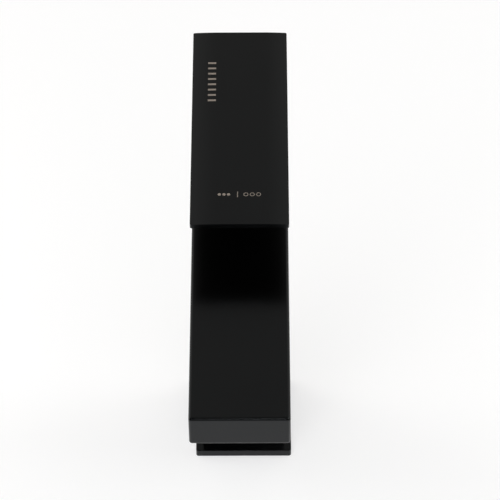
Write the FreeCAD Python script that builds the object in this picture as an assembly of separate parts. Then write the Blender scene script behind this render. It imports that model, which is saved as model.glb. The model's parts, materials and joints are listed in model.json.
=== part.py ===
"""Tall single-lever basin mixer: square column, flat box spout and a plate lever.

Units are millimetres. +Z is up, the deck is the plane Z = 0 and the column's axis is the Z axis.
The spout and the lever point along -Y; hot is on the -X side. Each function makes one piece.
"""
import FreeCAD, Part
import math
import os

V = FreeCAD.Vector
UP = V(0, 0, 1)
ALONG_Y = V(0, 1, 0)

# ---- driving dimensions of what is seen ----
BODY_W = 45.0  # width of the column, the spout and the lever
BODY_TOP = 252.0  # the flat top of the column and the spout
SPOUT_T = 18.2  # height of the spout's section
SPOUT_TIP = -188.2  # Y of the spout's front face
FLANGE_W = 52.6
FLANGE_T = 4.8
LEVER_FRONT = -100.0  # Y of the lever's front edge
LEVER_TOP = 280.9
LEVER_T = 2.8
CASTING_EDGE_R = 1.2  # the long edges of the casting
CORNER_R = 1.4  # plan corners of the casting, the lever and the flange
LEVER_EDGE_R = 0.8
LEVER_UNDER_R = 0.5
FLANGE_EDGE_R = 0.4

# ---- shell of the casting ----
COLUMN_WALL = 4.0
SPOUT_WALL = 2.2
SHELF_HOLE_R = 14.2
HEAD_R = 19.25  # bore of the head
HEAD_FRONT = -23.5  # Y where the head's front wall ends inside the spout
SPOUT_BOTTOM = BODY_TOP - SPOUT_T

# ---- the pivot of the lever ----
PIVOT_Z = BODY_TOP - 2.2
LIFT_MAX = 22.0
DOME_R = 20.0
DOME_T = 1.8
DOME_HOLE_R = 12.5
HUB_R = 18.0
HUB_RIM = 10.6  # height of the hub's rim over the pivot
HUB_CLEAR = 0.6
BALL_ARM = 13.7  # from the pivot down to the ball that drives the discs
BALL_R = 3.0
SPINDLE_HALF = 4.0
LEVER_UNDER = LEVER_TOP - LEVER_T
SPINDLE_TOP = LEVER_UNDER - 1.2
GRUB_Z = LEVER_UNDER - 4.8
PLATE_SCREW_X = 11.0
PLATE_SCREW_Z = LEVER_UNDER - 5.6

# ---- cartridge, size 35, stacked from the nut downwards ----
NUT_Z1 = BODY_TOP - 2.0
NUT_Z0 = NUT_Z1 - 5.5
NECK_Z0 = NUT_Z0 - 2.0
SEAL_Z0 = NECK_Z0 - 1.5  # top of the chamber for the mixed water
ROTOR_Z1 = PIVOT_Z + 3.7
ROTOR_Z0 = NECK_Z0 - 3.3
CARRIER_Z1 = ROTOR_Z0 - 0.1
CARRIER_Z0 = CARRIER_Z1 - 7.0
MOVING_Z0 = CARRIER_Z0 - 3.0
FIXED_Z1 = MOVING_Z0 - 0.05
FIXED_Z0 = FIXED_Z1 - 3.45
BASE_Z0 = FIXED_Z0 - 6.0
SEAT_Z0 = BASE_Z0 - 8.0  # top of the shelf that carries the valve seat
SHELF_Z0 = SEAT_Z0 - 8.0
SHELL_R = 17.5
CAVITY_R = 15.5
NECK_BORE_R = 11.55
PORT_X = 7.5
PORT_Y = 3.5
PORT_R = 3.0
OUTLET_Y = -8.0
OUTLET_R = 3.2
DISC_R = 12.4
RIB_HALF = 6.0
RIB_TOP = ROTOR_Z0 + 1.7
PIN_R = 1.5

# ---- water way and aerator in the spout ----
TUBE_Z0 = SPOUT_BOTTOM + 3.2
TUBE_Z1 = TUBE_Z0 + 10.0
TUBE_HALF = 10.0
TUBE_WALL = 1.6
WINDOW_HALF = 8.0
REAR_WINDOW = (TUBE_Z0 + TUBE_WALL, SEAL_Z0 - 0.2)
FRONT_WINDOW = (SPOUT_BOTTOM + 8.6, TUBE_Z1 - TUBE_WALL)
GASKET_T = 1.0
BOSS_HALF = 15.0
BOSS_REAR = -157.0
AERATOR_Y = -171.5
AERATOR_R = 12.0
AERATOR_BORE = 10.3
HOUSING_Z1 = SPOUT_BOTTOM + 6.8
AERATOR_SEAT_Z = SPOUT_BOTTOM + 8.0
MESH_Z0 = SPOUT_BOTTOM + 0.9
MESH_Z1 = SPOUT_BOTTOM + 2.1

# ---- foot ----
SPIGOT_R = 15.5
INSERT_Z1 = 40.0
SOCKET_R = 4.5  # minor radius of the hose thread, M10 x 1
SOCKET_DEPTH = 12.0
STUD_R = 3.4  # minor radius of the fixing thread, M8
STUD_DEPTH = 16.0
STUD_Y = -9.0
PIPE_X = 8.0
PIPE_Y = 3.5
PIPE_R = 4.0
SCREW_XY = 14.5
GASKET_OUT = 24.5
GASKET_IN = 21.0

HALF = BODY_W / 2
FIT = 0.05  # radial running clearance


def box(x, y, z):
    """A box from three (low, high) pairs."""
    size = (x[1] - x[0], y[1] - y[0], z[1] - z[0])
    return Part.makeBox(*size, V(x[0], y[0], z[0]))


def square(half, z, y=0.0):
    return box((-half, half), (y - half, y + half), z)


def cylinder(r, z, x=0.0, y=0.0):
    return Part.makeCylinder(r, z[1] - z[0], V(x, y, z[0]), UP)


def rod_y(r, y, z, x=0.0):
    """A cylinder along +Y between two Y values."""
    return Part.makeCylinder(r, y[1] - y[0], V(x, y[0], z), ALONG_Y)


def ring(r_out, r_in, z, x=0.0, y=0.0):
    return cylinder(r_out, z, x, y).cut(cylinder(r_in, z, x, y))


def seal(r_mid, r_section, z, x=0.0, y=0.0):
    """An O-ring in the horizontal plane at height z."""
    return Part.makeTorus(r_mid, r_section, V(x, y, z), UP)


def upright(edge):
    a, b = (vertex.Point for vertex in edge.Vertexes)
    return abs(a.x - b.x) < 1e-6 and abs(a.y - b.y) < 1e-6


def upright_edges(shape):
    return [e for e in shape.Edges if len(e.Vertexes) == 2 and upright(e)]


def level_edges(shape, z):
    return [e for e in shape.Edges if all(abs(v.Point.z - z) < 1e-6 for v in e.Vertexes)]


# ---------------------------------------------------------------- foot


def base_flange():
    plate = square(FLANGE_W / 2, (0, FLANGE_T))
    plate = plate.makeFillet(CORNER_R, upright_edges(plate))
    plate = plate.makeFillet(FLANGE_EDGE_R, level_edges(plate, FLANGE_T))
    plate = plate.cut(cylinder(SPIGOT_R + FIT, (0, FLANGE_T)))
    plate = plate.cut(gasket_solid())
    for x, y in screw_places():
        plate = plate.cut(flange_screw_outline(x, y))
    return plate


def gasket_solid():
    depth = (0, 1.5)
    return square(GASKET_OUT, depth).cut(square(GASKET_IN, depth))


def screw_places():
    return [(sx * SCREW_XY, sy * SCREW_XY) for sx in (-1, 1) for sy in (-1, 1)]


def flange_screw_outline(x, y):
    """A countersunk M3 screw that comes up through the flange into the insert."""
    head = Part.makeCone(3.0, 1.5, 1.6, V(x, y, 0.4), UP)
    top_land = cylinder(3.0, (0, 0.4), x, y)
    shank = cylinder(1.5, (2.0, 14.0), x, y)
    return top_land.fuse(head).fuse(shank).removeSplitter()


def flange_screw(x, y):
    socket = hexagon_prism(1.0, V(x, y, 0), UP, 1.3)
    return flange_screw_outline(x, y).cut(socket)


def hexagon_prism(across_half, base, direction, length):
    """A hexagonal prism, given half its width across flats, that starts at base."""
    radius = across_half / math.cos(math.pi / 6)
    side = V(1, 0, 0)
    other = direction.cross(side)
    corners = []
    for i in range(7):
        turn = i * math.pi / 3
        corners.append(base + side * (radius * math.cos(turn)) + other * (radius * math.sin(turn)))
    return Part.Face(Part.makePolygon(corners)).extrude(direction * length)


def base_insert():
    half = HALF - COLUMN_WALL - FIT
    block = square(half, (FLANGE_T, INSERT_Z1))
    block = block.makeFillet(2.95, upright_edges(block))
    block = block.fuse(cylinder(SPIGOT_R, (0, FLANGE_T))).removeSplitter()
    for x in (-PIPE_X, PIPE_X):
        block = block.cut(cylinder(SOCKET_R, (0, SOCKET_DEPTH), x, PIPE_Y))
        block = block.cut(cylinder(PORT_R, (SOCKET_DEPTH, INSERT_Z1), x, PIPE_Y))
        block = block.cut(cylinder(PIPE_R, (INSERT_Z1 - 12, INSERT_Z1), x, PIPE_Y))
    block = block.cut(cylinder(STUD_R, (0, STUD_DEPTH), 0, STUD_Y))
    for x, y in screw_places():
        block = block.cut(cylinder(1.5, (FLANGE_T, 15.0), x, y))
    return block


def inlet_pipe(x):
    reach = (INSERT_Z1 - 12, SEAT_Z0 + 4.4)
    return ring(PIPE_R, PORT_R, reach, x, PIPE_Y)


def pipe_seal(x):
    """Sits in a groove of the seat's socket and closes on the pipe."""
    return seal(PIPE_R + FIT + 0.5, 0.5, SEAT_Z0 + 2.2, x, PIPE_Y)


def pipe_seal_groove(x):
    return ring(PIPE_R + 1.1, PIPE_R, (SEAT_Z0 + 1.6, SEAT_Z0 + 2.8), x, PIPE_Y)


# ---------------------------------------------------------------- casting


def body_casting():
    column = square(HALF, (FLANGE_T, BODY_TOP))
    spout = box((-HALF, HALF), (SPOUT_TIP, 0), (SPOUT_BOTTOM, BODY_TOP))
    outer = column.fuse(spout).removeSplitter()
    outer = outer.makeFillet(CORNER_R, upright_edges(outer))
    rims = level_edges(outer, BODY_TOP)
    rims += [e for e in level_edges(outer, SPOUT_BOTTOM) if front_of_column(e)]
    outer = outer.makeFillet(CASTING_EDGE_R, rims)
    solid = outer.cut(column_hollow()).cut(spout_hollow())
    solid = solid.fuse(aerator_boss()).removeSplitter()
    solid = solid.cut(boss_passages())
    return solid


def front_of_column(edge):
    return min(vertex.Point.y for vertex in edge.Vertexes) < -HALF - 5


def column_hollow():
    inner = HALF - COLUMN_WALL
    hollow = square(inner, (FLANGE_T, SHELF_Z0))
    hollow = hollow.makeFillet(3.0, upright_edges(hollow))
    throat = cylinder(SHELF_HOLE_R, (SHELF_Z0, SEAT_Z0))
    head = cylinder(HEAD_R, (SEAT_Z0, BODY_TOP))
    window = box((-WINDOW_HALF, WINDOW_HALF), (HEAD_FRONT, -10), REAR_WINDOW)
    return hollow.fuse([throat, head, window])


def spout_hollow():
    x = (-HALF + SPOUT_WALL, HALF - SPOUT_WALL)
    y = (SPOUT_TIP + SPOUT_WALL, HEAD_FRONT)
    z = (SPOUT_BOTTOM + SPOUT_WALL, BODY_TOP - SPOUT_WALL)
    hollow = box(x, y, z)
    return hollow.makeFillet(0.8, hollow.Edges)


def aerator_boss():
    z = (SPOUT_BOTTOM + SPOUT_WALL - 0.5, BODY_TOP - SPOUT_WALL + 0.5)
    return box((-BOSS_HALF, BOSS_HALF), (SPOUT_TIP + 1.0, BOSS_REAR), z)


def boss_passages():
    seat = cylinder(AERATOR_R + FIT, (SPOUT_BOTTOM - 1, AERATOR_SEAT_Z), 0, AERATOR_Y)
    chamber = cylinder(10.0, (AERATOR_SEAT_Z, SPOUT_BOTTOM + 14.2), 0, AERATOR_Y)
    window = box((-WINDOW_HALF, WINDOW_HALF), (AERATOR_Y, BOSS_REAR), FRONT_WINDOW)
    return seat.fuse([chamber, window])


# ---------------------------------------------------------------- valve seat and cartridge


def seat_ring_groove(r_outer, z):
    return ring(r_outer + 1, r_outer - 1.2, (z - 0.75, z + 0.75))


def valve_seat():
    seat = cylinder(HEAD_R - FIT, (SEAT_Z0, BASE_Z0))
    for x in (-1, 1):
        seat = seat.cut(cylinder(PIPE_R + FIT, (SEAT_Z0, SEAT_Z0 + 4.5), x * PIPE_X, PIPE_Y))
        seat = seat.cut(pipe_seal_groove(x * PIPE_X))
        seat = seat.cut(cylinder(PORT_R - 0.5, (SEAT_Z0, BASE_Z0), x * PORT_X, PORT_Y))
        seat = seat.cut(cylinder(1.5, (BASE_Z0 - 2.5, BASE_Z0), x * 10.5, -9.0))
    return seat.cut(seat_ring_groove(HEAD_R - FIT, SEAT_Z0 + 4))


def valve_seat_seal():
    return seal(HEAD_R - 0.65, 0.6, SEAT_Z0 + 4)


def cartridge_base():
    base = cylinder(CAVITY_R - FIT, (BASE_Z0, FIXED_Z0))
    for x in (-1, 1):
        base = base.cut(cylinder(PORT_R - 0.5, (BASE_Z0, FIXED_Z0), x * PORT_X, PORT_Y))
        base = base.cut(port_seal(x, 0.1))
        base = base.fuse(cylinder(1.4, (BASE_Z0 - 2.3, BASE_Z0), x * 10.5, -9.0))
    base = base.cut(cylinder(OUTLET_R, (BASE_Z0 + 2.0, FIXED_Z0), 0, OUTLET_Y))
    return base.cut(outlet_notch()).removeSplitter()


def outlet_notch():
    """The way the mixed water leaves: forwards through the base and the shell."""
    return box((-4.0, 4.0), (-HEAD_R, OUTLET_Y + 2.0), (BASE_Z0 + 1.5, BASE_Z0 + 5.0))


def port_seal(side, spare=0.0):
    z = (BASE_Z0, BASE_Z0 + 1.2)
    return ring(4.2 + spare, 2.9 - spare, z, side * PORT_X, PORT_Y)


def cartridge_shell():
    shell = cylinder(SHELL_R, (BASE_Z0, NECK_Z0))
    shell = shell.fuse(cylinder(HEAD_R - 0.1, (NECK_Z0, NUT_Z0)))
    shell = shell.fuse(cylinder(14.2, (NUT_Z0, NUT_Z1)))
    shell = shell.cut(cylinder(CAVITY_R, (BASE_Z0, NECK_Z0)))
    shell = shell.cut(cylinder(NECK_BORE_R, (NECK_Z0, NUT_Z1)))
    return shell.cut(outlet_notch()).removeSplitter()


def cartridge_shell_seal():
    return ring(HEAD_R - FIT, SHELL_R + FIT, (SEAL_Z0, NECK_Z0))


def fixed_ceramic_disc():
    disc = cylinder(CAVITY_R - FIT, (FIXED_Z0, FIXED_Z1))
    for x in (-1, 1):
        disc = disc.cut(cylinder(PORT_R - 0.3, (FIXED_Z0, FIXED_Z1), x * PORT_X, PORT_Y))
    return disc.cut(cylinder(OUTLET_R, (FIXED_Z0, FIXED_Z1), 0, OUTLET_Y))


def disc_centre_y():
    """The discs start behind the axis and slide through it to as far in front."""
    return 0.5 * BALL_ARM * math.sin(math.radians(LIFT_MAX))


def moving_ceramic_disc():
    y = disc_centre_y()
    disc = cylinder(DISC_R, (MOVING_Z0, CARRIER_Z0), 0, y)
    pocket = cylinder(5.2, (MOVING_Z0, MOVING_Z0 + 1.6), 0, y - 4.5)
    return disc.cut(pocket)


def disc_carrier():
    y = disc_centre_y()
    ball_z = PIVOT_Z - BALL_ARM
    carrier = cylinder(DISC_R, (CARRIER_Z0, CARRIER_Z1), 0, y)
    rib = box((-RIB_HALF, RIB_HALF), (y - 9.0, y + 9.0), (CARRIER_Z1, RIB_TOP))
    carrier = carrier.fuse(rib).removeSplitter()
    socket = box((-3.1, 3.1), (-3.35, 3.35), (ball_z - 3.2, ball_z + 2.0))
    flare = box((-3.1, 3.1), (-5.6, 5.6), (ball_z + 2.0, RIB_TOP))
    return carrier.cut(socket).cut(flare)


def cartridge_rotor():
    rotor = cylinder(CAVITY_R - 0.3, (ROTOR_Z0, NECK_Z0 - FIT))
    rotor = rotor.fuse(cylinder(NECK_BORE_R - FIT, (NECK_Z0 - FIT, ROTOR_Z1)))
    rotor = rotor.removeSplitter()
    slot_x = SPINDLE_HALF + FIT
    rotor = rotor.cut(box((-slot_x, slot_x), (-9.4, 6.6), (ROTOR_Z0, ROTOR_Z1)))
    guide = RIB_HALF + 0.1
    rotor = rotor.cut(box((-guide, guide), (-16.0, 16.0), (ROTOR_Z0, RIB_TOP + 0.1)))
    return rotor.cut(pin_solid())


def pin_solid():
    return Part.makeCylinder(PIN_R, 21.0, V(-10.5, 0, PIVOT_Z), V(1, 0, 0))


def cartridge_nut():
    nut = ring(HEAD_R - FIT, 14.5, (NUT_Z0, NUT_Z1))
    for turn in range(4):
        slot = box((-2, 2), (12, 20), (NUT_Z1 - 1.8, NUT_Z1))
        slot.rotate(V(0, 0, 0), UP, 45 + 90 * turn)
        nut = nut.cut(slot)
    return nut


def dome_trim():
    """A spherical cap about the pivot, with a short skirt in the column's bore."""
    centre = V(0, 0, PIVOT_Z)
    cap = Part.makeSphere(DOME_R, centre).cut(Part.makeSphere(DOME_R - DOME_T, centre))
    cap = cap.common(cylinder(DOME_R + 1, (BODY_TOP, PIVOT_Z + DOME_R + 1)))
    cap = cap.fuse(ring(HEAD_R - FIT, DOME_R - 2.2, (NUT_Z1, BODY_TOP + 0.4))).removeSplitter()
    return cap.cut(cylinder(DOME_HOLE_R, (BODY_TOP, PIVOT_Z + DOME_R + 1)))


# ---------------------------------------------------------------- lever


def spindle():
    bar = square(SPINDLE_HALF, (PIVOT_Z - 4.0, SPINDLE_TOP))
    arm_top = PIVOT_Z - 4.0
    ball_z = PIVOT_Z - BALL_ARM
    arm = Part.makeCone(1.9, 3.4, arm_top - ball_z, V(0, 0, ball_z), UP)
    ball = Part.makeSphere(BALL_R, V(0, 0, ball_z))
    shape = bar.fuse([arm, ball]).removeSplitter()
    hole = Part.makeCylinder(PIN_R + FIT, 30, V(-15, 0, PIVOT_Z), V(1, 0, 0))
    return shape.cut(hole)


def lever_hub():
    top = LEVER_UNDER
    hub = cylinder(HUB_R, (PIVOT_Z + HUB_RIM, top))
    hub = hub.cut(Part.makeSphere(DOME_R + HUB_CLEAR, V(0, 0, PIVOT_Z)))
    half = SPINDLE_HALF
    hub = hub.cut(square(half, (PIVOT_Z, SPINDLE_TOP)))
    hub = hub.cut(rod_y(2.5, (half, HUB_R + 1), GRUB_Z))
    hub = hub.cut(rod_y(3.2, (HUB_R - 2.2, HUB_R + 1), GRUB_Z))
    for x in (-PLATE_SCREW_X, PLATE_SCREW_X):
        hub = hub.cut(cylinder(2.8, (PIVOT_Z, PLATE_SCREW_Z), x))
        hub = hub.cut(cylinder(1.5, (PLATE_SCREW_Z, top), x))
    return hub


def lever_plate():
    rear = HALF
    z = (LEVER_UNDER, LEVER_TOP)
    plate = box((-HALF, HALF), (LEVER_FRONT, rear), z)
    plate = plate.makeFillet(CORNER_R, upright_edges(plate))
    plate = plate.makeFillet(LEVER_EDGE_R, level_edges(plate, z[1]))
    plate = plate.makeFillet(LEVER_UNDER_R, level_edges(plate, z[0]))
    for x in (-PLATE_SCREW_X, PLATE_SCREW_X):
        plate = plate.cut(cylinder(1.5, (z[0], z[1] - 0.6), x))
    return plate


def lever_plate_screw(x):
    shank = cylinder(1.5, (PLATE_SCREW_Z, LEVER_TOP - 0.7), x)
    head = cylinder(2.7, (PLATE_SCREW_Z - 2.0, PLATE_SCREW_Z), x)
    screw = head.fuse(shank).removeSplitter()
    return screw.cut(hexagon_prism(1.0, V(x, 0, PLATE_SCREW_Z - 2.0), UP, 1.3))


def lever_grub_screw():
    start = SPINDLE_HALF
    screw = rod_y(2.5, (start, start + 7.0), GRUB_Z)
    return screw.cut(hexagon_prism(1.25, V(0, start + 4.5, GRUB_Z), ALONG_Y, 2.5))


def index_plug():
    """The cover of the grub screw's hole, flush with the round hub."""
    plug = rod_y(3.2, (HUB_R - 2.2, HUB_R + 1), GRUB_Z)
    return plug.common(cylinder(HUB_R, (PIVOT_Z, LEVER_TOP)))


# ---------------------------------------------------------------- water way and aerator


def water_way_tube():
    y = (BOSS_REAR + GASKET_T, HEAD_FRONT - GASKET_T)
    outer = box((-TUBE_HALF, TUBE_HALF), y, (TUBE_Z0, TUBE_Z1))
    outer = outer.makeFillet(1.5, edges_along_y(outer))
    half = TUBE_HALF - TUBE_WALL
    inner = box((-half, half), y, (TUBE_Z0 + TUBE_WALL, TUBE_Z1 - TUBE_WALL))
    return outer.cut(inner)


def edges_along_y(shape):
    found = []
    for edge in shape.Edges:
        a, b = (vertex.Point for vertex in edge.Vertexes)
        if abs(a.x - b.x) < 1e-6 and abs(a.z - b.z) < 1e-6:
            found.append(edge)
    return found


def water_way_gasket(y, z):
    """A flat gasket between the tube's end and a wall, open at the window in the wall."""
    plate = box((-TUBE_HALF, TUBE_HALF), y, (TUBE_Z0, TUBE_Z1))
    return plate.cut(box((-WINDOW_HALF, WINDOW_HALF), y, z))


def aerator_housing():
    z0 = SPOUT_BOTTOM
    housing = ring(AERATOR_R, AERATOR_BORE, (z0, HOUSING_Z1), 0, AERATOR_Y)
    for turn in range(4):
        notch = box((-1.5, 1.5), (9.5, 11.2), (z0, z0 + 1.4))
        notch.rotate(V(0, 0, 0), UP, 45 + 90 * turn)
        notch.translate(V(0, AERATOR_Y, 0))
        housing = housing.cut(notch)
    return housing


def aerator_seal():
    return ring(AERATOR_R, 10.1, (HOUSING_Z1, AERATOR_SEAT_Z), 0, AERATOR_Y)


def aerator_insert():
    z = (MESH_Z1, HOUSING_Z1)
    insert = cylinder(AERATOR_BORE - FIT, z, 0, AERATOR_Y)
    for i in range(8):
        turn = i * math.pi / 4
        x, y = 6.6 * math.cos(turn), AERATOR_Y + 6.6 * math.sin(turn)
        insert = insert.cut(cylinder(1.6, z, x, y))
    return insert.cut(cylinder(3.0, (z[0], z[1] - 1.2), 0, AERATOR_Y))


def aerator_mesh():
    """The outlet grille: a thin disc with a square field of holes."""
    z = (MESH_Z0, MESH_Z1)
    disc = cylinder(AERATOR_BORE - FIT, z, 0, AERATOR_Y)
    pitch, hole = 2.6, 1.0
    cutters = []
    for i in range(-3, 4):
        for j in range(-3, 4):
            if math.hypot(i, j) * pitch < 8.3:
                x, y = i * pitch, AERATOR_Y + j * pitch
                cutters.append(box((x - hole, x + hole), (y - hole, y + hole), z))
    return disc.cut(cutters)


def pieces():
    """Every piece by its name."""
    made = {
        "base_flange": base_flange(),
        "base_gasket": gasket_solid(),
        "body_casting": body_casting(),
        "base_insert": base_insert(),
        "inlet_pipe_hot": inlet_pipe(-PIPE_X),
        "inlet_pipe_cold": inlet_pipe(PIPE_X),
        "pipe_seal_hot": pipe_seal(-PIPE_X),
        "pipe_seal_cold": pipe_seal(PIPE_X),
        "valve_seat": valve_seat(),
        "valve_seat_seal": valve_seat_seal(),
        "water_way_tube": water_way_tube(),
        "water_way_gasket_rear": water_way_gasket(
            (HEAD_FRONT - GASKET_T, HEAD_FRONT), REAR_WINDOW
        ),
        "water_way_gasket_front": water_way_gasket(
            (BOSS_REAR, BOSS_REAR + GASKET_T), FRONT_WINDOW
        ),
        "aerator_housing": aerator_housing(),
        "aerator_insert": aerator_insert(),
        "aerator_mesh": aerator_mesh(),
        "aerator_seal": aerator_seal(),
        "cartridge_base": cartridge_base(),
        "port_seal_hot": port_seal(-1),
        "port_seal_cold": port_seal(1),
        "cartridge_shell": cartridge_shell(),
        "cartridge_shell_seal": cartridge_shell_seal(),
        "fixed_ceramic_disc": fixed_ceramic_disc(),
        "cartridge_nut": cartridge_nut(),
        "dome_trim": dome_trim(),
        "cartridge_rotor": cartridge_rotor(),
        "spindle_pin": pin_solid(),
        "disc_carrier": disc_carrier(),
        "moving_ceramic_disc": moving_ceramic_disc(),
        "spindle": spindle(),
        "lever_hub": lever_hub(),
        "lever_plate": lever_plate(),
        "lever_plate_screw_1": lever_plate_screw(-PLATE_SCREW_X),
        "lever_plate_screw_2": lever_plate_screw(PLATE_SCREW_X),
        "lever_grub_screw": lever_grub_screw(),
        "index_plug": index_plug(),
    }
    for number, (x, y) in enumerate(screw_places(), 1):
        made[f"flange_screw_{number}"] = flange_screw(x, y)
    return made


os.makedirs("parts", exist_ok=True)
for name, shape in pieces().items():
    if len(shape.Solids) != 1 or not shape.isValid():
        raise ValueError(f"{name}: {len(shape.Solids)} solids, valid {shape.isValid()}")
    shape.Solids[0].exportStep(f"parts/{name}.step")
    print(f"{name:24s} {shape.Volume / 1000:9.3f} cm3")
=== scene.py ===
"""Finishes, lever, fittings and studio for a tall single-lever basin mixer."""

import json
import math

import bmesh
import bpy
from bpy.props import FloatProperty, FloatVectorProperty, PointerProperty
from mathutils import Matrix, Vector


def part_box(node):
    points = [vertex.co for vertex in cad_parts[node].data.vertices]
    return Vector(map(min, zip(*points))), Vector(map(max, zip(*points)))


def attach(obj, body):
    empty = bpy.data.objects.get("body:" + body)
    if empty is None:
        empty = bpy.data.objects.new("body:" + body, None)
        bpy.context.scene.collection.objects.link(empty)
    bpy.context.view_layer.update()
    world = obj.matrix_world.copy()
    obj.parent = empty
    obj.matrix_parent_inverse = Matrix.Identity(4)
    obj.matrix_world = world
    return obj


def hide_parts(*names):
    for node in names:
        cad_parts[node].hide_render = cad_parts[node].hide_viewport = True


bl_info = {
    "name": "Basin Mixer Finisher",
    "version": (1, 0, 0),
    "blender": (4, 5, 0),
    "location": "3D View > Sidebar > Basin Mixer",
    "description": "Builds the visible finish of a single-lever basin mixer round its CAD frame",
    "category": "Object",
}

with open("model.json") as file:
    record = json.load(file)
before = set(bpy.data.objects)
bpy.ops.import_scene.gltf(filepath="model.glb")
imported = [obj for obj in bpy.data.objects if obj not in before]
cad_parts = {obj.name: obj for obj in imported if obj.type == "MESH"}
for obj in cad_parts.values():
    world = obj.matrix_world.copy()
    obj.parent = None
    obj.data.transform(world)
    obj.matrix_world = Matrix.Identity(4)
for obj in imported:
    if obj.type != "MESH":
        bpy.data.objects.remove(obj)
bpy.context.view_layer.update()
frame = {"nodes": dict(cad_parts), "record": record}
MM = 0.001
AXIS = Vector((0.0, 0.0, 1.0))
BACKDROP = 0.955  # brightness of the plain backdrop
TURNED_STEPS = 128  # sides of a turned piece
SQUARE_ON = 0.999  # cosine above which a direction counts as upright
CREASE = 32.0  # degrees between two faces above which their edge stays sharp
FLAT_AREA = 30.0 * MM * MM  # area above which a face is shaded flat


def node_box(name):
    low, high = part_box(name)
    return Vector(low), Vector(high)


def joint_place(name):
    joints = frame["record"]["behaviour"]["joints"]
    return Vector(next(joint["pos_m"] for joint in joints if joint["name"] == name))


LEVER_LOW, LEVER_HIGH = node_box("lever_plate")
HUB_LOW, HUB_HIGH = node_box("lever_hub")
PLUG_LOW, PLUG_HIGH = node_box("index_plug")
COLUMN_TOP = node_box("body_casting")[1].z
DOME_FOOT = node_box("dome_trim")[0].z
PIVOT = joint_place("lever_lift")


# ---------------------------------------------------------------- settings


def length(name, description, default):
    return FloatProperty(
        name=name,
        description=description,
        subtype="DISTANCE",
        unit="LENGTH",
        min=0.0,
        default=default,
    )


def offset(name, description, default):
    return FloatProperty(
        name=name,
        description=description,
        subtype="DISTANCE",
        unit="LENGTH",
        default=default,
    )


def share(name, description, default):
    return FloatProperty(
        name=name,
        description=description,
        subtype="FACTOR",
        min=0.0,
        max=1.0,
        default=default,
    )


def tint(name, description, default):
    return FloatVectorProperty(
        name=name,
        description=description,
        subtype="COLOR",
        size=4,
        min=0.0,
        max=1.0,
        default=(*default, 1.0),
    )


def power(name, description, default):
    return FloatProperty(
        name=name, description=description, unit="POWER", min=0.0, default=default
    )


def turn(name, description, degrees):
    return FloatProperty(
        name=name,
        description=description,
        subtype="ANGLE",
        unit="ROTATION",
        default=math.radians(degrees),
    )


class LeverSettings(bpy.types.PropertyGroup):
    """Sizes of the lever's own pieces."""

    corner: length("Corner radius", "Plan radius of the blade's corners", 1.4 * MM)
    top_edge: length("Top edge radius", "Radius round the blade's upper face", 0.8 * MM)
    under_edge: length("Lower edge radius", "Radius round the blade's lower face", 0.5 * MM)
    flat_half: length(
        "Flat half width", "How far from its middle the blade's top stays flat", 11.0 * MM
    )
    fall: length("Fall", "How far the blade's top falls from there to its long edges", 0.42 * MM)
    hub_edge: length("Hub lower edge", "Width of the bevel at the hub's lower rim", 0.12 * MM)
    hub_shoulder: length("Hub upper edge", "Width of the bevel at the hub's upper rim", 0.35 * MM)
    socket: length("Socket radius", "Radius of the hollow in the hub, about the pivot", 20.6 * MM)
    dome: length("Dome radius", "Radius of the dome, about the pivot", 20.0 * MM)
    dome_wall: length("Dome wall", "Thickness of the dome", 1.8 * MM)
    dome_hole: length("Dome hole radius", "Radius of the hole in the dome's top", 12.5 * MM)
    dome_skirt: length("Skirt radius", "Radius of the skirt inside the column", 19.2 * MM)
    skirt_wall: length("Skirt wall", "Thickness of the skirt's foot", 1.4 * MM)
    button_gap: length("Button gap", "Clearance round the button", 0.05 * MM)
    button_proud: length("Button rise", "How far the button stands out of the hub", 0.3 * MM)
    button_edge: length("Button edge radius", "Radius round the button's face", 0.25 * MM)
    button_border: length("Button border", "Width of the border round the sunk face", 0.7 * MM)
    button_sink: length("Button sink", "Depth and slope of the sunk face", 0.12 * MM)


class FinishSettings(bpy.types.PropertyGroup):
    """Colours and gloss of the finishes."""

    coat_colour: tint(
        "Coat colour", "Body colour of the satin black coat", (0.00015, 0.00015, 0.00018)
    )
    coat_roughness: share("Coat roughness", "How far the coat spreads a reflection", 0.215)
    coat_specular: share("Coat reflectance", "Specular level of the satin coat", 0.25)
    coat_sheen: tint("Coat sheen", "Tint of what the coat reflects", (0.89, 0.945, 1.0))
    ink_colour: tint("Ink colour", "Colour of the printed marks", (0.24, 0.205, 0.175))
    brass_colour: tint("Brass colour", "Colour of the turned brass", (0.72, 0.52, 0.26))
    copper_colour: tint("Copper colour", "Colour of the drawn copper", (0.80, 0.38, 0.24))
    steel_colour: tint("Steel colour", "Colour of the stainless steel", (0.58, 0.57, 0.55))
    rubber_colour: tint("Rubber colour", "Colour of the seals", (0.020, 0.020, 0.022))
    white_colour: tint(
        "White plastic colour", "Colour of the cartridge's plastic", (0.74, 0.73, 0.69)
    )
    black_colour: tint(
        "Black plastic colour", "Colour of the aerator's plastic", (0.012, 0.012, 0.013)
    )
    ceramic_colour: tint("Ceramic colour", "Colour of the sintered discs", (0.82, 0.80, 0.74))


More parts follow.
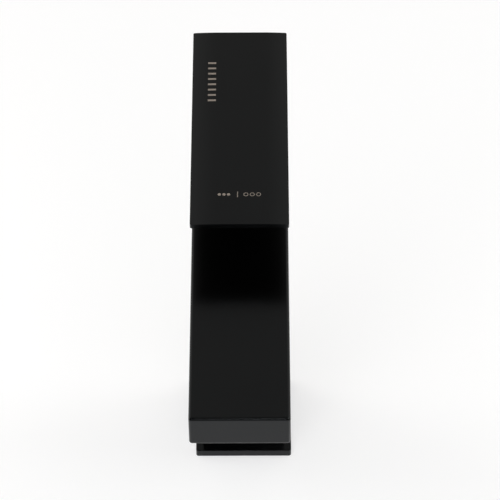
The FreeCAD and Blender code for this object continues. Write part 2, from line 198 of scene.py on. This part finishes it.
class MarkSettings(bpy.types.PropertyGroup):
    """Places and sizes of the printed marks on the lever."""

    row_y: offset("Row place", "Y of the row of warm and cool marks", -82.0 * MM)
    warm_x: offset("Warm mark place", "X of the middle dot", -7.1 * MM)
    cool_x: offset("Cool mark place", "X of the middle ring", 5.8 * MM)
    bar_x: offset("Bar place", "X of the bar between the two marks", -0.9 * MM)
    dot: length("Dot radius", "Radius of a filled dot of the warm mark", 0.75 * MM)
    ring: length("Ring width", "Width of the line of a ring of the cool mark", 0.3 * MM)
    pitch: length("Pitch", "Distance between neighbouring dots", 2.1 * MM)
    ring_radius: length("Ring radius", "Radius of a ring of the cool mark", 0.95 * MM)
    ring_pitch: length("Ring pitch", "Distance between neighbouring rings", 2.9 * MM)
    bar: length("Bar height", "Height of the bar between the two marks", 3.4 * MM)
    bar_width: length("Bar width", "Width of the bar between the two marks", 0.32 * MM)
    strip_x: offset("Strip place X", "X of the middle of the strip of bars", -13.2 * MM)
    strip_y: offset("Strip place Y", "Y of the middle of the strip of bars", -10.4 * MM)
    strip_pitch: length("Strip pitch", "Distance between neighbouring bars", 3.5 * MM)
    strip_width: length("Strip width", "Length of each bar, across the strip", 3.8 * MM)
    strip_bar: length("Strip bar", "Thickness of each bar, along the strip", 1.1 * MM)


class StudioSettings(bpy.types.PropertyGroup):
    """Camera and light."""

    camera_place: FloatVectorProperty(
        name="Camera place",
        description="Where the camera stands",
        subtype="TRANSLATION",
        unit="LENGTH",
        size=3,
        default=(0.008457, -0.853807, 1.150049),
    )
    camera_pitch: turn("Camera pitch", "How far the camera looks down", 49.6464)
    camera_yaw: turn("Camera yaw", "How far the camera is turned to its right", -0.2867)
    camera_roll: turn("Camera roll", "How far the camera leans to its right", 0.4087)
    lens: FloatProperty(
        name="Focal length",
        description="Focal length of the lens on a 36 mm wide sensor, in millimetres",
        subtype="DISTANCE_CAMERA",
        unit="CAMERA",
        min=10.0,
        default=183.425,
    )
    overhead_power: power("Overhead power", "Power of the overhead softbox", 34.0)
    side_power: power("Side power", "Power of each side softbox", 5.0)
    strip_power: power("Strip power", "Power of the narrow light that draws the edges", 8.0)
    horizon: share("Horizon", "Brightness of the room near the floor", 0.95)
    back_wall: share("Back wall", "Brightness of the room behind the mixer", 0.37)
    wings: FloatProperty(
        name="Wings",
        description="How much brighter the room's back wall gets to the left and right",
        min=0.0,
        default=1.6,
    )
    gloom: share("Gloom", "Brightness of the room overhead and in front", 0.03)


# ---------------------------------------------------------------- shader maths


class Wire:
    """A shader socket that can be used in Python expressions."""

    def __init__(self, graph, socket):
        self.graph = graph
        self.socket = socket

    def maths(self, operation, *values):
        return self.graph.add("ShaderNodeMath", {"operation": operation}, values)

    def __add__(self, other):
        return self.maths("ADD", self, other)

    def __radd__(self, other):
        return self.maths("ADD", other, self)

    def __sub__(self, other):
        return self.maths("SUBTRACT", self, other)

    def __rsub__(self, other):
        return self.maths("SUBTRACT", other, self)

    def __mul__(self, other):
        return self.maths("MULTIPLY", self, other)

    def __rmul__(self, other):
        return self.maths("MULTIPLY", other, self)

    def __truediv__(self, other):
        return self.maths("DIVIDE", self, other)

    def __rtruediv__(self, other):
        return self.maths("DIVIDE", other, self)

    def __pow__(self, other):
        return self.maths("POWER", self, other)

    def __abs__(self):
        return self.maths("ABSOLUTE", self)

    def __gt__(self, other):
        return self.maths("GREATER_THAN", self, other)

    def least(self, other):
        return self.maths("MINIMUM", self, other)

    def most(self, other):
        return self.maths("MAXIMUM", self, other)

    def nearest(self):
        return self.maths("ROUND", self)

    def sine(self):
        return self.maths("SINE", self)

    def held(self):
        """The value kept between nought and one."""
        return self.least(1.0).most(0.0)


class Graph:
    """A node tree whose nodes are added and wired by value."""

    def __init__(self, tree):
        self.tree = tree

    def add(self, kind, settings=None, inputs=(), outputs=(0,)):
        """Adds a node. Inputs go by position, or by the keys of a dict of names or numbers.

        Returns one Wire, or a list of them where more than one output is asked for.
        """
        node = self.tree.nodes.new(kind)
        for key, value in (settings or {}).items():
            setattr(node, key, value)
        pairs = inputs.items() if isinstance(inputs, dict) else enumerate(inputs)
        for key, value in pairs:
            self.feed(node.inputs[key], value)
        wires = [Wire(self, node.outputs[key]) for key in outputs]
        return wires[0] if len(wires) == 1 else wires

    def feed(self, socket, value):
        if isinstance(value, Wire):
            self.tree.links.new(value.socket, socket)
        else:
            socket.default_value = value


class Finish(Graph):
    """A material under construction."""

    def __init__(self, name):
        self.material = bpy.data.materials.new(name)
        self.material.use_nodes = True
        super().__init__(self.material.node_tree)
        self.shader = self.tree.nodes["Principled BSDF"]

    def set(self, **values):
        """Sets or links the main shader's sockets; names use underscores for spaces."""
        for key, value in values.items():
            self.feed(self.shader.inputs[key.replace("_", " ")], value)
        return self.material

    def place(self):
        return self.add("ShaderNodeTexCoord", outputs=("Object",))

    def stretched(self, place, scale):
        settings = {"operation": "MULTIPLY"}
        return self.add("ShaderNodeVectorMath", settings, [place, scale])

    def axes(self, place):
        return self.add("ShaderNodeSeparateXYZ", None, [place], (0, 1, 2))

    def noise(self, place, scale, detail=2.0, roughness=0.5):
        inputs = {"Vector": place, "Scale": scale, "Detail": detail, "Roughness": roughness}
        return self.add("ShaderNodeTexNoise", {"noise_dimensions": "3D"}, inputs)

    def cells(self, place, scale):
        inputs = {"Vector": place, "Scale": scale}
        return self.add("ShaderNodeTexVoronoi", {"feature": "F1"}, inputs)

    def blend(self, factor, first, second):
        inputs = {0: factor, 6: first, 7: second}
        return self.add("ShaderNodeMix", {"data_type": "RGBA"}, inputs, (2,))

    def bump(self, height, strength, distance):
        inputs = {"Height": height, "Strength": strength, "Distance": distance}
        return self.add("ShaderNodeBump", None, inputs)


def shaded(colour, amount):
    """A colour made lighter or darker, with its alpha kept."""
    return (*(channel * amount for channel in colour[:3]), 1.0)


# ---------------------------------------------------------------- finishes


PRINT_SOFTNESS = 0.06 * MM  # width over which a printed edge fades
PRINT_DEPTH = 0.2 * MM  # how far below the blade's highest point the print still shows


def inside(distance):
    """One inside a shape and nought outside it, from the signed distance to its outline."""
    return (0.5 - distance / PRINT_SOFTNESS).held()


def sprayed_coat(finish, place, settings):
    """Relief, fleck, colour and roughness of a sprayed coat.

    It has a fine orange peel and a gloss that drifts slowly over the surface.
    """
    peel = finish.noise(place, scale=900.0, roughness=0.45)
    fleck = finish.noise(place, scale=5200.0, detail=1.0)
    drift = finish.noise(place, scale=26.0)
    dark, light = shaded(settings.coat_colour, 0.6), shaded(settings.coat_colour, 1.4)
    roughness = settings.coat_roughness + (drift - 0.5) * 0.05 + (fleck - 0.5) * 0.02
    return peel, fleck, finish.blend(fleck, dark, light), roughness


def coat_finish(finish, settings, colour, roughness, relief):
    """Sets what the plain and the printed coat share."""
    return finish.set(
        Base_Color=colour,
        Roughness=roughness,
        Specular_IOR_Level=settings.coat_specular,
        Specular_Tint=settings.coat_sheen,
        Normal=finish.bump(relief, strength=0.05, distance=0.02 * MM),
    )


def satin_black(settings):
    finish = Finish("satin_black_coat")
    peel, _, colour, roughness = sprayed_coat(finish, finish.place(), settings)
    return coat_finish(finish, settings, colour, roughness, peel)


def from_nearest(across, middle, pitch, count):
    """How far a place lies past the nearest member of an evenly spaced row."""
    along = across - (middle - 0.5 * (count - 1) * pitch)
    nearest = (along / pitch).nearest().most(0.0).least(count - 1.0)
    return along - nearest * pitch


def round_row(x, y, centre_x, centre_y, pitch, count):
    """Distance from the nearest of a row of equal points."""
    step = from_nearest(x, centre_x, pitch, count)
    rise = y - centre_y
    return (step * step + rise * rise) ** 0.5


def slab(x, y, centre_x, centre_y, half_x, half_y):
    """Signed distance from an upright rectangle."""
    return (abs(x - centre_x) - half_x).most(abs(y - centre_y) - half_y)


def warm_and_cool_marks(x, y, marks):
    """Three filled dots for warm, a bar, and three wider rings for cool."""
    dots = round_row(x, y, marks.warm_x, marks.row_y, marks.pitch, count=3)
    rings = round_row(x, y, marks.cool_x, marks.row_y, marks.ring_pitch, count=3)
    warm = dots - marks.dot
    cool = abs(rings - marks.ring_radius) - 0.5 * marks.ring
    bar = slab(x, y, marks.bar_x, marks.row_y, 0.5 * marks.bar_width, 0.5 * marks.bar)
    return inside(warm).most(inside(cool)).most(inside(bar))


def strip_of_bars(x, y, marks):
    """A plain strip of eight short equal bars beside the blade's left edge."""
    along = from_nearest(y, marks.strip_y, marks.strip_pitch, count=8)
    half_x, half_y = 0.5 * marks.strip_width, 0.5 * marks.strip_bar
    return inside(slab(x, along, marks.strip_x, 0.0, half_x, half_y))


def printed_black(settings, marks):
    """The lever blade's coat, with its marks printed on the upper face."""
    finish = Finish("satin_black_printed")
    place = finish.place()
    peel, fleck, body, roughness = sprayed_coat(finish, place, settings)
    x, y, z = finish.axes(place)
    top = z > LEVER_HIGH.z - PRINT_DEPTH
    ink = warm_and_cool_marks(x, y, marks).most(strip_of_bars(x, y, marks)) * top
    worn_ink = ink * (0.82 + 0.18 * fleck)
    colour = finish.blend(worn_ink, body, settings.ink_colour)
    return coat_finish(finish, settings, colour, roughness + ink * 0.2, peel + ink * 0.4)


def turned_metal(name, colour, roughness, pitch):
    """Bright metal with the fine rings that a lathe leaves, and a faint tarnish."""
    finish = Finish(name)
    place = finish.place()
    x, y, z = finish.axes(place)
    across = (x * x + y * y) ** 0.5
    rings = ((across + z) * (2.0 * math.pi / pitch)).sine()
    tarnish = finish.noise(place, scale=90.0, detail=4.0, roughness=0.6)
    return finish.set(
        Base_Color=finish.blend(tarnish, shaded(colour, 0.78), shaded(colour, 1.12)),
        Metallic=1.0,
        Roughness=roughness + (tarnish - 0.5) * 0.16,
        Normal=finish.bump(rings + tarnish, strength=0.12, distance=0.01 * MM),
    )


def drawn_copper(colour):
    """Soft drawn tube, streaked along its length and a little darkened."""
    finish = Finish("drawn_copper")
    place = finish.place()
    along = finish.stretched(place, (1400.0, 1400.0, 14.0))
    streaks = finish.noise(along, scale=1.0, detail=3.0)
    patina = finish.noise(place, scale=45.0, detail=4.0, roughness=0.6)
    return finish.set(
        Base_Color=finish.blend(patina, shaded(colour, 0.62), shaded(colour, 1.1)),
        Metallic=1.0,
        Roughness=0.26 + (patina - 0.5) * 0.2,
        Normal=finish.bump(streaks, strength=0.25, distance=0.02 * MM),
    )


def moulded_rubber(colour):
    finish = Finish("moulded_rubber")
    place = finish.place()
    grain = finish.noise(place, scale=1600.0, detail=3.0, roughness=0.6)
    bloom = finish.noise(place, scale=120.0, detail=3.0)
    return finish.set(
        Base_Color=finish.blend(bloom, shaded(colour, 0.8), shaded(colour, 1.9)),
        Roughness=0.78 + (bloom - 0.5) * 0.2,
        Specular_IOR_Level=0.35,
        Normal=finish.bump(grain, strength=0.35, distance=0.03 * MM),
    )


def moulded_plastic(name, colour, roughness, grain_scale):
    """Injection-moulded plastic: a spark-eroded grain and faint flow marks."""
    finish = Finish(name)
    place = finish.place()
    grain = finish.cells(place, grain_scale)
    across = finish.stretched(place, (60.0, 60.0, 220.0))
    flow = finish.noise(across, scale=1.0, detail=3.0)
    return finish.set(
        Base_Color=finish.blend(flow, shaded(colour, 0.88), shaded(colour, 1.1)),
        Roughness=roughness + (flow - 0.5) * 0.1,
        Specular_IOR_Level=0.45,
        Normal=finish.bump(grain, strength=0.2, distance=0.02 * MM),
    )


def lapped_ceramic(colour):
    """Sintered alumina, lapped flat, with a fine speckle of grains."""
    finish = Finish("lapped_ceramic")
    place = finish.place()
    speckle = finish.noise(place, scale=2600.0, roughness=0.7)
    return finish.set(
        Base_Color=finish.blend(speckle, shaded(colour, 0.9), shaded(colour, 1.08)),
        Roughness=0.16 + speckle * 0.08,
        Specular_IOR_Level=0.6,
        Normal=finish.bump(speckle, strength=0.06, distance=0.01 * MM),
    )


# ---------------------------------------------------------------- mesh helpers


def paint(node_names, material):
    for name in node_names:
        for slot in frame["nodes"][name].material_slots:
            slot.material = material


def nodes_in_slot(slot):
    return [part["node"] for part in frame["record"]["subparts"] if part["material_slot"] == slot]


def material_of(node_name):
    return frame["nodes"][node_name].material_slots[0].material


def block(bm, low, high):
    """A closed box between two corners."""
    size = high - low
    place = Matrix.Translation((low + high) / 2) @ Matrix.Diagonal((*size, 1.0))
    bmesh.ops.create_cube(bm, size=1.0, matrix=place)


def round_off(bm, edges, radius, segments):
    bmesh.ops.bevel(
        bm,
        geom=edges,
        offset=radius,
        offset_type="OFFSET",
        affect="EDGES",
        segments=segments,
        profile=0.5,
        material=-1,
        clamp_overlap=True,
    )


def upright_edges(bm):
    return [e for e in bm.edges if abs((e.verts[0].co - e.verts[1].co).normalized().z) > SQUARE_ON]


def rim_edges(bm, height):
    """The outline of the level face at a height."""
    bm.normal_update()
    level = [
        face
        for face in bm.faces
        if abs(face.normal.z) > SQUARE_ON
        and abs(face.calc_center_median().z - height) < 0.001 * MM
    ]
    return list({edge for face in level for edge in face.edges})


def top_rim_edges(bm):
    """The outline of the upper face, where that face isn't level."""
    bm.normal_update()
    upper = {face for face in bm.faces if face.normal.z > 0.9}
    return [edge for edge in bm.edges if len(upper.intersection(edge.link_faces)) == 1]


def arc(bm, centre, radius, start, end, steps):
    """Points of an arc in the plane X = 0; angles are measured from +Z towards +Y."""
    first = centre + Vector((0.0, radius * math.sin(start), radius * math.cos(start)))
    vert = bm.verts.new(first)
    bmesh.ops.spin(
        bm,
        geom=[vert],
        cent=centre,
        axis=(1.0, 0.0, 0.0),
        angle=start - end,
        steps=steps,
        use_merge=False,
        use_duplicate=False,
    )


def outline(bm, points):
    """Joins (radius, height) points into the profile that a turned piece is spun from."""
    verts = [bm.verts.new((0.0, radius, height)) for radius, height in points]
    for first, second in zip(verts, verts[1:]):
        bm.edges.new((first, second))
    return verts


def spin_round(bm):
    """Turns the profile drawn so far about the column's axis."""
    bmesh.ops.spin(
        bm,
        geom=bm.verts[:] + bm.edges[:],
        cent=(0.0, 0.0, 0.0),
        axis=AXIS,
        angle=2.0 * math.pi,
        steps=TURNED_STEPS,
        use_merge=True,
    )


def smooth_by_angle(bm):
    """Smooth faces, with a crease wherever two faces meet at a sharp angle."""
    bm.normal_update()
    limit = math.radians(CREASE)
    for face in bm.faces:
        face.smooth = True
    for edge in bm.edges:
        edge.smooth = len(edge.link_faces) == 2 and edge.calc_face_angle(0.0) < limit


def flatten_large_faces(bm):
    """Keeps large flat faces flat, so that the small radii round them don't shade them."""
    for face in bm.faces:
        if face.calc_area() > FLAT_AREA:
            face.smooth = False


def add_piece(name, bm, body, material, replaced):
    """Closes and shades a mesh, and hangs it on its body in place of its CAD nodes."""
    bmesh.ops.remove_doubles(bm, verts=bm.verts[:], dist=0.001 * MM)
    bmesh.ops.recalc_face_normals(bm, faces=bm.faces[:])
    smooth_by_angle(bm)
    flatten_large_faces(bm)
    mesh = bpy.data.meshes.new(name)
    bm.to_mesh(mesh)
    bm.free()
    mesh.materials.append(material)
    piece = bpy.data.objects.new(name, mesh)
    bpy.context.scene.collection.objects.link(piece)
    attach(piece, body)
    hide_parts(*replaced)


# ---------------------------------------------------------------- operators


class MIXER_OT_finishes(bpy.types.Operator):
    """Gives every CAD node the finish of its material slot"""

    bl_idname = "mixer.finishes"
    bl_label = "Finish the fittings"

    def execute(self, context):
        colours = context.scene.mixer_finish
        brass, steel = colours.brass_colour, colours.steel_colour
        white, black = colours.white_colour, colours.black_colour
        finishes = {
            "black_coat": satin_black(colours),
            "brass": turned_metal("turned_brass", brass, roughness=0.26, pitch=0.5 * MM),
            "steel": turned_metal("turned_steel", steel, roughness=0.3, pitch=0.35 * MM),
            "copper": drawn_copper(colours.copper_colour),
            "rubber": moulded_rubber(colours.rubber_colour),
            "white_plastic": moulded_plastic("white_acetal", white, 0.38, grain_scale=1500.0),
            "black_plastic": moulded_plastic("black_acetal", black, 0.42, grain_scale=1800.0),
            "ceramic": lapped_ceramic(colours.ceramic_colour),
        }
        for slot, material in finishes.items():
            paint(nodes_in_slot(slot), material)
        return {"FINISHED"}


class MIXER_OT_blade(bpy.types.Operator):
    """Builds the lever's blade with its rounded edges and printed marks"""

    bl_idname = "mixer.blade"
    bl_label = "Lever blade"

    def execute(self, context):
        sizes = context.scene.mixer_lever
        bm = bmesh.new()
        block(bm, LEVER_LOW, LEVER_HIGH)
        self.crown(bm, sizes)
        round_off(bm, upright_edges(bm), sizes.corner, segments=8)
        round_off(bm, top_rim_edges(bm), sizes.top_edge, segments=6)
        round_off(bm, rim_edges(bm, LEVER_LOW.z), sizes.under_edge, segments=4)
        material = printed_black(context.scene.mixer_finish, context.scene.mixer_marks)
        add_piece("lever_blade", bm, "lever", material, ["lever_plate"])
        return {"FINISHED"}

    def crown(self, bm, sizes):
        """Lets the top fall away gently towards the two long edges, as a pressed blade does."""
        reach = LEVER_HIGH.x - sizes.flat_half
        cuts = 8
        for side in (-1.0, 1.0):
            for step in range(cuts):
                bmesh.ops.bisect_plane(
                    bm,
                    geom=bm.verts[:] + bm.edges[:] + bm.faces[:],
                    plane_co=(side * (sizes.flat_half + reach * step / cuts), 0.0, 0.0),
                    plane_no=(1.0, 0.0, 0.0),
                )
        for vert in bm.verts:
            past = max(0.0, abs(vert.co.x) - sizes.flat_half) / reach
            if vert.co.z > (LEVER_LOW.z + LEVER_HIGH.z) / 2:
                vert.co.z -= sizes.fall * past * past


class MIXER_OT_turnings(bpy.types.Operator):
    """Turns the hub under the lever, the dome on the column and the hub's button"""

    bl_idname = "mixer.turnings"
    bl_label = "Hub, dome and button"

    def execute(self, context):
        sizes = context.scene.mixer_lever
        self.hub(sizes)
        self.dome(sizes)
        self.button(sizes)
        return {"FINISHED"}

    def hub(self, sizes):
        radius = HUB_HIGH.x
        rim = HUB_LOW.z
        lip = math.sqrt(sizes.socket**2 - (rim - PIVOT.z) ** 2)
        bm = bmesh.new()
        arc(bm, PIVOT, sizes.socket, 0.0, math.asin(lip / sizes.socket), steps=14)
        last = max(bm.verts, key=lambda vert: vert.co.y)
        edge = sizes.hub_edge
        wall = outline(
            bm,
            [
                (radius - edge, rim),
                (radius, rim + edge),
                (radius, HUB_HIGH.z - sizes.hub_shoulder),
                (radius - sizes.hub_shoulder, HUB_HIGH.z),
                (0.0, HUB_HIGH.z),
            ],
        )
        bm.edges.new((last, wall[0]))
        spin_round(bm)
        add_piece("hub_collar", bm, "lever", material_of("lever_hub"), ["lever_hub"])

    def dome(self, sizes):
        rise = COLUMN_TOP - PIVOT.z
        hole, skirt = sizes.dome_hole, sizes.dome_skirt
        outer, inner = sizes.dome, sizes.dome - sizes.dome_wall
        bm = bmesh.new()
        arc(bm, PIVOT, outer, math.asin(hole / outer), math.acos(rise / outer), steps=16)
        crown = min(bm.verts, key=lambda vert: vert.co.y)
        lip = max(bm.verts, key=lambda vert: vert.co.y)
        before = set(bm.verts)
        arc(bm, PIVOT, inner, math.asin(hole / inner), math.acos(rise / inner), steps=16)
        lining = [vert for vert in bm.verts if vert not in before]
        throat = min(lining, key=lambda vert: vert.co.y)
        heel = max(lining, key=lambda vert: vert.co.y)
        foot = skirt - sizes.skirt_wall
        ring = outline(bm, [(skirt, COLUMN_TOP), (skirt, DOME_FOOT), (foot, DOME_FOOT)])
        bm.edges.new((lip, ring[0]))
        bm.edges.new((ring[-1], heel))
        bm.edges.new((throat, crown))
        spin_round(bm)
        add_piece("dome_cap", bm, "body", material_of("dome_trim"), ["dome_trim"])

    def button(self, sizes):
        """The small round cover at the back of the hub, with a rounded rim."""
        middle = (PLUG_LOW + PLUG_HIGH) / 2
        radius = (PLUG_HIGH.x - PLUG_LOW.x) / 2 - sizes.button_gap
        depth = PLUG_HIGH.y - PLUG_LOW.y + sizes.button_proud
        bm = bmesh.new()
        place = Matrix.Translation((middle.x, PLUG_LOW.y + depth / 2, middle.z))
        lying = Matrix.Rotation(math.radians(-90.0), 4, "X")
        bmesh.ops.create_cone(
            bm,
            cap_ends=True,
            cap_tris=False,
            segments=64,
            radius1=radius,
            radius2=radius,
            depth=depth,
            matrix=place @ lying,
        )
        face = max(bm.faces, key=lambda f: f.calc_center_median().y)
        round_off(bm, list(face.edges), sizes.button_edge, segments=4)
        face = max(bm.faces, key=lambda f: f.calc_center_median().y)
        sink = sizes.button_sink
        bmesh.ops.inset_region(bm, faces=[face], thickness=sizes.button_border, depth=0.0)
        bmesh.ops.inset_region(bm, faces=[face], thickness=sink, depth=-sink)
        plastic = material_of("index_plug")
        add_piece("index_button", bm, "lever", plastic, ["index_plug"])


class MIXER_OT_studio(bpy.types.Operator):
    """Makes the floor, the lights and the camera"""

    bl_idname = "mixer.studio"
    bl_label = "Set the studio"

    def execute(self, context):
        settings = context.scene.mixer_studio
        self.floor()
        self.backdrop()
        self.room(context, settings)
        overhead, sides, strip = settings.overhead_power, settings.side_power, settings.strip_power
        overhead_box = self.softbox("overhead_box", (-0.25, -1.1, 1.9), (2.2, 2.2), overhead)
        overhead_box.visible_glossy = False
        self.softbox("left_box", (-1.5, 0.5, 0.6), (0.7, 0.7), sides)
        self.softbox("right_box", (1.4, 0.2, 0.7), (0.7, 0.7), sides)
        edge_strip = self.softbox("edge_strip", (0.5, -0.62, 1.4), (1.5, 0.08), strip)
        edge_strip.visible_diffuse = False
        self.camera(context, settings)
        return {"FINISHED"}

    def floor(self):
        """Pale paper that glows evenly further out, so that it meets the backdrop unseen."""
        finish = Finish("studio_paper")
        place = finish.place()
        x, y, _ = finish.axes(place)
        lit, fade = 0.5, 1.2  # metres: radius of the lit paper, and how far it fades beyond
        far = (((x * x + y * y) ** 0.5 - lit) / fade).held()
        fibre = finish.noise(place, scale=700.0, detail=3.0)
        near = finish.blend(fibre, (0.50, 0.50, 0.50, 1.0), (0.515, 0.515, 0.51, 1.0))
        glow = finish.blend(far, (0.520, 0.522, 0.530, 1.0), (BACKDROP, BACKDROP, BACKDROP, 1.0))
        finish.set(
            Base_Color=finish.blend(far, near, (0.0, 0.0, 0.0, 1.0)),
            Roughness=0.9,
            Specular_IOR_Level=0.0,
            Emission_Color=glow,
            Emission_Strength=1.0,
        )
        bm = bmesh.new()
        bmesh.ops.create_grid(bm, x_segments=1, y_segments=1, size=6.0)
        self.stage_piece("studio_floor", bm, finish.material)

    def backdrop(self):
        """A plain pale shell behind everything, which neither lights nor mirrors in the mixer."""
        finish = Finish("studio_backdrop")
        finish.set(
            Base_Color=(0.0, 0.0, 0.0, 1.0),
            Specular_IOR_Level=0.0,
            Emission_Color=(BACKDROP, BACKDROP, BACKDROP, 1.0),
            Emission_Strength=1.0,
        )
        bm = bmesh.new()
        bmesh.ops.create_uvsphere(bm, u_segments=48, v_segments=24, radius=5.8)
        shell = self.stage_piece("studio_backdrop", bm, finish.material)
        shell.visible_diffuse = False
        shell.visible_glossy = False
        shell.visible_shadow = False

    def stage_piece(self, name, bm, material):
        mesh = bpy.data.meshes.new(name)
        bm.to_mesh(mesh)
        bm.free()
        mesh.materials.append(material)
        piece = bpy.data.objects.new(name, mesh)
        bpy.context.scene.collection.objects.link(piece)
        return piece

    def room(self, context, settings):
        """A room pale near the floor, grey behind the mixer, and dark overhead and in front."""
        world = bpy.data.worlds.new("studio_room")
        context.scene.world = world
        world.use_nodes = True
        graph = Graph(world.node_tree)
        aim = graph.add("ShaderNodeTexCoord", outputs=("Generated",))
        across, behind, height = graph.add("ShaderNodeSeparateXYZ", None, [aim], (0, 1, 2))
        wing_reach, wall_top, wall_fade = 0.18, 0.86, 0.08
        front_glow, rear_glow, falloff = 0.06, 0.22, 0.7  # how high the pale horizon reaches
        seam = 0.05  # half the width over which the front of the room turns into its rear
        wings = (abs(across) / wing_reach).held() * settings.wings
        rear = ((behind + seam) / (2.0 * seam)).held()
        wall = rear * (1.0 - ((height - wall_top) / wall_fade).held())
        upper = settings.gloom + wall * (settings.back_wall * (1.0 + wings) - settings.gloom)
        rise = (height / (front_glow + (rear_glow - front_glow) * rear)).held() ** falloff
        level = settings.horizon + rise * (upper - settings.horizon)
        background = world.node_tree.nodes["Background"]
        graph.feed(background.inputs["Strength"], level)
        background.inputs["Color"].default_value = (1.03, 1.0, 0.95, 1.0)

    def softbox(self, name, place, size, power):
        light = bpy.data.lights.new(name, "AREA")
        light.shape = "RECTANGLE"
        light.size, light.size_y = size
        light.energy = power
        lamp = bpy.data.objects.new(name, light)
        lamp.location = place
        mixer_middle = Vector((0.0, -0.05, 0.12))
        aim = mixer_middle - Vector(place)
        lamp.rotation_mode = "QUATERNION"
        lamp.rotation_quaternion = aim.to_track_quat("-Z", "Y")  # keeps the long side level
        bpy.context.scene.collection.objects.link(lamp)
        return lamp

    def camera(self, context, settings):
        data = bpy.data.cameras.new("studio_camera")
        data.lens = settings.lens
        data.sensor_width = 36.0  # millimetres
        data.clip_start = 0.05
        data.clip_end = 50.0
        camera = bpy.data.objects.new("studio_camera", data)
        pitch, yaw, roll = settings.camera_pitch, settings.camera_yaw, settings.camera_roll
        level = Vector((math.cos(yaw), -math.sin(yaw), 0.0))
        north = Vector((math.sin(yaw), math.cos(yaw), 0.0))
        ahead = north * math.cos(pitch) - AXIS * math.sin(pitch)
        below = ahead.cross(level)
        right = level * math.cos(roll) + below * math.sin(roll)
        down = below * math.cos(roll) - level * math.sin(roll)
        facing = Matrix((right, -down, -ahead)).transposed().to_4x4()
        camera.matrix_world = Matrix.Translation(settings.camera_place) @ facing
        context.scene.collection.objects.link(camera)
        context.scene.camera = camera
        context.scene.view_settings.view_transform = "Standard"


class MIXER_PT_panel(bpy.types.Panel):
    """Lists the steps that finish the mixer"""

    bl_idname = "MIXER_PT_panel"
    bl_label = "Basin Mixer"
    bl_space_type = "VIEW_3D"
    bl_region_type = "UI"
    bl_category = "Basin Mixer"

    def draw(self, context):
        for step in STEPS:
            self.layout.operator(step.bl_idname)


STEPS = (MIXER_OT_finishes, MIXER_OT_blade, MIXER_OT_turnings, MIXER_OT_studio)
SETTINGS = {
    "mixer_lever": LeverSettings,
    "mixer_finish": FinishSettings,
    "mixer_marks": MarkSettings,
    "mixer_studio": StudioSettings,
}


def register():
    for cls in (*SETTINGS.values(), *STEPS, MIXER_PT_panel):
        bpy.utils.register_class(cls)
    for name, cls in SETTINGS.items():
        setattr(bpy.types.Scene, name, PointerProperty(type=cls))


def unregister():
    for name in SETTINGS:
        delattr(bpy.types.Scene, name)
    for cls in (MIXER_PT_panel, *reversed(STEPS), *SETTINGS.values()):
        bpy.utils.unregister_class(cls)


def main():
    register()
    bpy.ops.mixer.finishes()
    bpy.ops.mixer.blade()
    bpy.ops.mixer.turnings()
    bpy.ops.mixer.studio()


if __name__ == "__main__":
    main()
